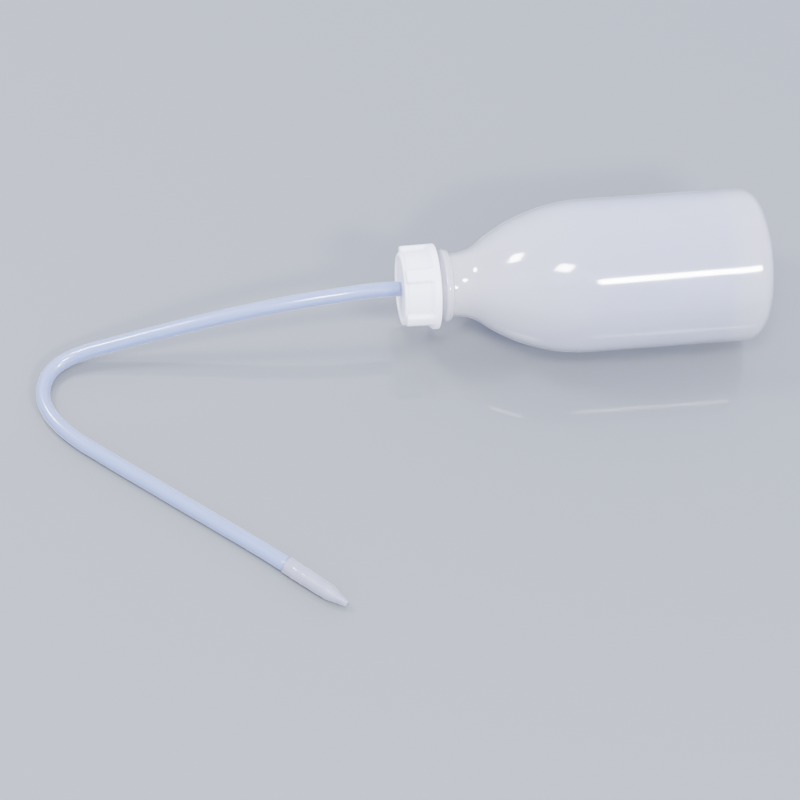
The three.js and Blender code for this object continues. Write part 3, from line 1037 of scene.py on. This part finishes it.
# %% Nozzle plastic
def moulded_natural():
    """Cloudy all through, with a fine grain under a clear skin."""
    material, tree, output = new_material("moulded_ldpe_natural")
    place = add_node(tree, "ShaderNodeTexCoord").outputs["Object"]
    cloud = add_node(tree, "ShaderNodeTexNoise", {"Vector": place, "Scale": fine(4), "Detail": 3.0})
    milk = add_node(
        tree,
        "ShaderNodeMix",
        {"Factor": cloud.outputs["Fac"], "A": colour("#9598ae"), "B": colour("#aaabbd")},
        data_type="RGBA",
    )
    # The mould's own grain is finer, and is drawn coarser so that it shows.
    grain = add_node(tree, "ShaderNodeTexNoise", {"Vector": place, "Scale": fine(0.4), "Detail": 2.0})
    skin = add_node(
        tree,
        "ShaderNodeBump",
        {"Height": grain.outputs["Fac"], "Strength": 0.3, "Distance": 0.00003},
    )
    shader = add_node(
        tree,
        "ShaderNodeBsdfPrincipled",
        {
            "Base Color": milk.outputs[2],
            "Roughness": 0.35,
            "IOR": 1.51,
            "Transmission Weight": 0.35,
            "Subsurface Weight": 0.8,
            "Subsurface Radius": (1.0, 1.0, 1.0),
            "Subsurface Scale": 0.0015,
            "Sheen Weight": 0.9,
            "Sheen Roughness": 0.3,
            "Sheen Tint": colour("#f6f4f4"),
            "Coat Weight": 1.0,
            "Coat Roughness": 0.05,
            "Coat IOR": 1.51,
            "Normal": skin.outputs["Normal"],
        },
    )
    tree.links.new(shader.outputs["BSDF"], output.inputs["Surface"])
    return material


nozzle_plastic = described(moulded_natural())

# %% [markdown]
# ### Foamed polyethylene sheet
# The seal is cut from a soft white sheet whose tiny closed bubbles make it quite matt.

# %% Seal sheet
def foamed_sheet():
    """White and matt, with a skin of tiny bubbles."""
    material, tree, output = new_material("foamed_pe_sheet")
    place = add_node(tree, "ShaderNodeTexCoord").outputs["Object"]
    bubbles = add_node(tree, "ShaderNodeTexVoronoi", {"Vector": place, "Scale": fine(0.6)})
    tone = add_node(
        tree,
        "ShaderNodeMix",
        {"Factor": bubbles.outputs["Distance"], "A": colour("#dedfe2"), "B": colour("#f1f1f2")},
        data_type="RGBA",
    )
    skin = add_node(
        tree,
        "ShaderNodeBump",
        {"Height": bubbles.outputs["Distance"], "Strength": 0.4, "Distance": 0.0001},
    )
    shader = add_node(
        tree,
        "ShaderNodeBsdfPrincipled",
        {
            "Base Color": tone.outputs[2],
            "Roughness": 0.75,
            "IOR": 1.45,
            "Normal": skin.outputs["Normal"],
        },
    )
    tree.links.new(shader.outputs["BSDF"], output.inputs["Surface"])
    return material


seal_sheet = described(foamed_sheet())

# %% Give each piece its plastic
for piece, material in (
    (bottle, bottle_plastic),
    (cap, cap_plastic),
    (hose, hose_plastic),
    (dip, dip_plastic),
    (nozzle, nozzle_plastic),
    (seal, seal_sheet),
):
    piece.data.materials.clear()
    piece.data.materials.append(material)
    print(f"{piece.name} is made of {material.name}")

# %% [markdown]
# ## What each piece stands for
# Every piece replaces its imported solid and rides on the same body, so the cap still unscrews, the
# seal and the tube lift with it, and the hose can be swivelled in the cap.

# %% Each piece on its body
for piece, node, body, slot_name in (
    (bottle, "squeeze_bottle", "bottle", "bottle_wall"),
    (cap, "screw_cap", "cap", "cap_plastic"),
    (seal, "mouth_seal", "seal", "seal_foam"),
    (dip, "dip_tube", "tube", "tube_plastic"),
    (hose, "delivery_hose", "tube", "tube_plastic"),
    (nozzle, "nozzle_tip", "tube", "nozzle_plastic"),
):
    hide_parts(node)
    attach(piece, body)
    print(f"{piece.name} stands for {node} and rides on the {body}")

# %% [markdown]
# ## Floor and light
# A plain pale floor, pale surroundings and one large panel behind give soft light, which shows the
# milky plastic best. A strip lamp gives the long crisp highlight that tells the eye how smooth the
# skin is, and two small lamps give the bright spots on the shoulder and the neck. The floor has a
# clear coat, so that the bottle shows faintly in it.

# %% Floor
FLOOR_REACH = 3


def studio_floor():
    """Plain and pale, with a clear coat."""
    material, tree, output = new_material("pale_floor")
    shader = add_node(
        tree,
        "ShaderNodeBsdfPrincipled",
        {
            "Base Color": colour("#65686b"),
            "Roughness": 0.6,
            "Coat Weight": 1.0,
            "Coat Roughness": 0.06,
        },
    )
    tree.links.new(shader.outputs["BSDF"], output.inputs["Surface"])
    return material


bm = bmesh.new()
bmesh.ops.create_grid(bm, x_segments=1, y_segments=1, size=FLOOR_REACH)
floor = finished("floor", bm)
floor.data.materials.append(described(studio_floor()))

# %% Lamps and the surroundings
LAMP_AIM = Vector((0, 0, 0.02))
WORLD_STRENGTH = 3.5


def softbox(name, place, width, height, power):
    """A rectangular lamp that faces the bottle."""
    data = bpy.data.lights.new(name, "AREA")
    data.shape = "RECTANGLE"
    data.size = width
    data.size_y = height
    data.energy = power
    lamp = bpy.data.objects.new(name, data)
    bpy.context.scene.collection.objects.link(lamp)
    lamp.location = place
    lamp.rotation_euler = (LAMP_AIM - Vector(place)).to_track_quat("-Z", "Y").to_euler()
    print(f"{name}: {width} by {height} m, {power} W")


softbox("back_panel", (0.0, 1.3, 0.9), 2.6, 1.6, 9)
softbox("strip_lamp", (0.29, -0.62, 0.72), 0.26, 0.11, 15)
softbox("viewer_lamp", (-0.22, -0.36, 1.08), 0.2, 0.2, 14)
softbox("side_lamp", (-0.58, 0.22, 0.74), 0.2, 0.12, 9)

world = bpy.data.worlds.new("studio")
world.use_nodes = True
background = world.node_tree.nodes["Background"]
background.inputs["Color"].default_value = colour("#d7deff")
background.inputs["Strength"].default_value = WORLD_STRENGTH
bpy.context.scene.world = world
print(f"surroundings: strength {WORLD_STRENGTH}")
